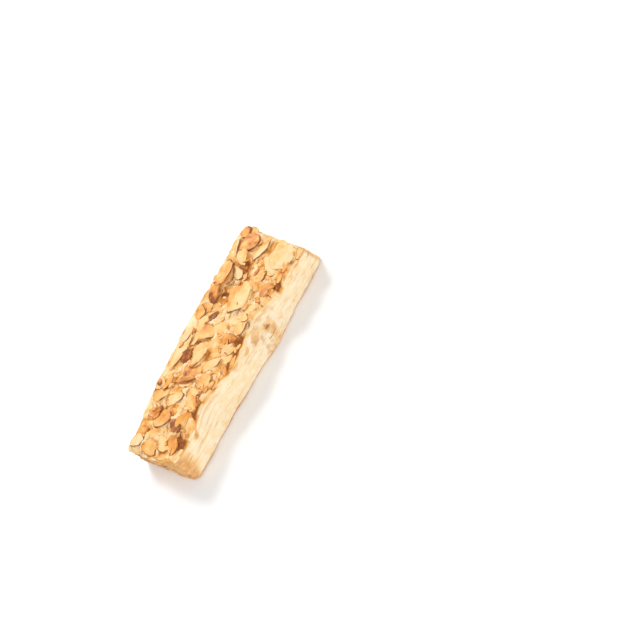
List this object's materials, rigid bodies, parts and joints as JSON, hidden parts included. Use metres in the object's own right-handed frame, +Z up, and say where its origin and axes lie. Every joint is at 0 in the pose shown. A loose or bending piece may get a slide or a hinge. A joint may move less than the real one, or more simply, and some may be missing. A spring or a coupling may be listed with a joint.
{
  "type": "almond pastry bar",
  "caption": "Oblong bar of layered baked pastry with a glazed top covered in overlapping flaked almonds.",
  "frame": {"origin": "middle of the flat underside, at the bottom centre of the whole bar's box", "axes": "+X along the bar towards its far end, +Y across it towards the back, +Z up through the topping; the front, at -Y, is the long side that shows its leaves"},
  "size_m": [0.1484, 0.0554, 0.026],
  "materials": {
    "pastry": "Baked layered pastry: dry, matt and flaky, pale inside its leaves and golden brown on the baked ends and underside.",
    "almond_topping": "Toasted flaked almonds in a thin pale glaze: satin, cream to orange-brown, with darker brown skins and rims."
  },
  "bodies": {
    "root": {"pastry": "pastry", "almond_topping": "almond_topping"}
  },
  "joints": []
}
